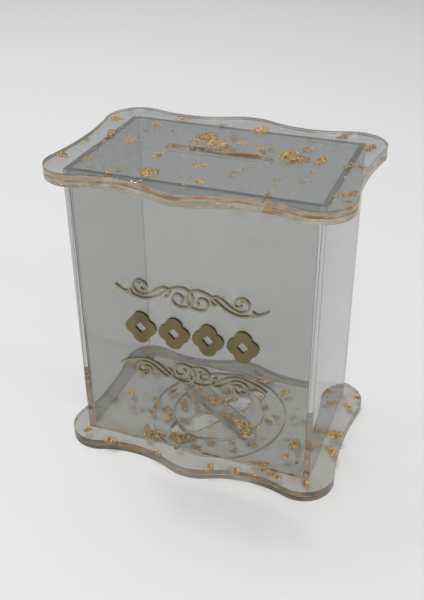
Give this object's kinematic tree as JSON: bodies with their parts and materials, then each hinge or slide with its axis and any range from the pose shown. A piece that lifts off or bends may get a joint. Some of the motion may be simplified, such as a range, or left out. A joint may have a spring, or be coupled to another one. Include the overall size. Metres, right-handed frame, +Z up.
{
  "type": "donation box",
  "caption": "Clear acrylic donation box with wavy gold-flake top and base sheets, a coin slot, gold scroll ornaments on the front and a quarter-turn emptying door in the base.",
  "frame": {"origin": "middle of the underside of the lower base sheet, where the box stands", "axes": "+Z up; the ornamented front panel faces -Y; +X is to the viewer's right when facing the front"},
  "size_m": [0.142, 0.1, 0.154],
  "materials": {
    "clear_acrylic": "clear, polished faces and flame-polished edges",
    "flake_acrylic": "clear with embedded gold-leaf flakes, polished",
    "gold_mirror_acrylic": "gold mirror front, dark laser-cut edges"
  },
  "bodies": {
    "box": {"front_panel": "clear_acrylic", "back_panel": "clear_acrylic", "left_panel": "clear_acrylic", "right_panel": "clear_acrylic", "base_lower_sheet": "flake_acrylic", "base_upper_sheet": "flake_acrylic", "top_lower_sheet": "flake_acrylic", "top_upper_sheet": "flake_acrylic", "upper_scroll": "gold_mirror_acrylic", "lower_scroll": "gold_mirror_acrylic", "quatrefoil_1": "gold_mirror_acrylic", "quatrefoil_2": "gold_mirror_acrylic", "quatrefoil_3": "gold_mirror_acrylic", "quatrefoil_4": "gold_mirror_acrylic"},
    "door": {"door_disc": "flake_acrylic", "door_plug": "flake_acrylic", "lock_bar": "flake_acrylic"}
  },
  "joints": [
    {"name": "door_turn", "type": "hinge", "parent": "box", "child": "door", "pos_m": [0, 0, 0.0045], "axis": [0, 0, 1], "range_deg": [0, 90]}
  ]
}
